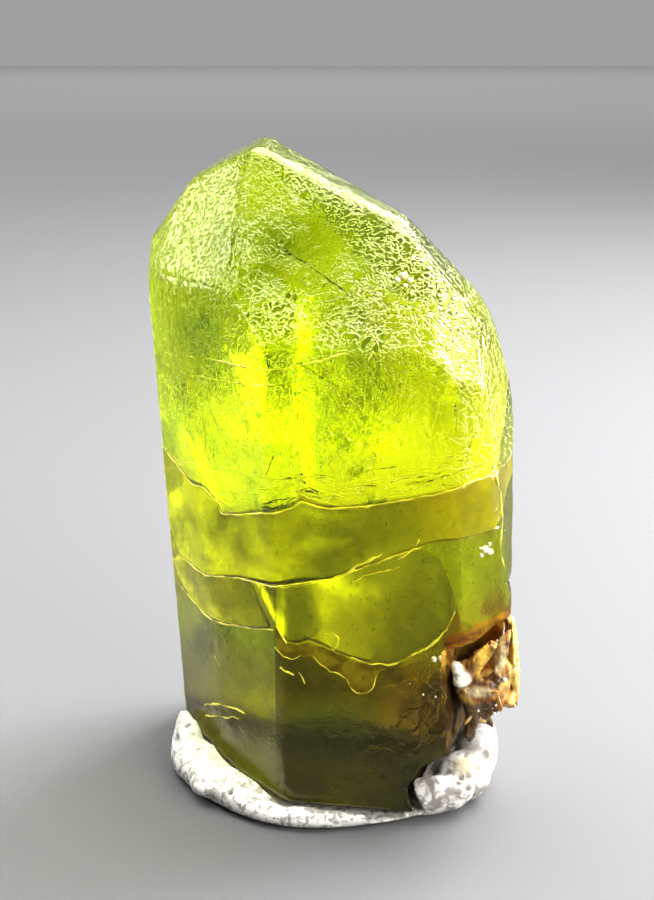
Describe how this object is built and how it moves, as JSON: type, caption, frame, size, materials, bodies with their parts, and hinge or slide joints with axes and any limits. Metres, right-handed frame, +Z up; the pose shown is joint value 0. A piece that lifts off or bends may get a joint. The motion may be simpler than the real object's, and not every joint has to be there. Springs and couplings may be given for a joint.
{
  "type": "peridot crystal",
  "caption": "Upright gem olivine prism with a pointed head, open cracks and a rusty matrix remnant, held in a pressed pad of white putty.",
  "frame": {"origin": "centre of the flat underside of the putty pad, where it rests", "axes": "+Z up along the crystal, -Y towards the viewer on the crystal's front face, +X to the viewer's right"},
  "size_m": [0.0161, 0.0144, 0.0279],
  "materials": {
    "peridot": "clear lime green gem, vitreous, etched faces, olive and rust-stained below its main crack",
    "rusty_matrix": "earthy iron-stained rock with white grains and amber flakes",
    "putty": "matte white mounting putty, pitted and a little dirty"
  },
  "bodies": {
    "root": {"peridot_crystal": "peridot", "iron_stained_matrix": "rusty_matrix", "putty_base": "putty"}
  },
  "joints": []
}
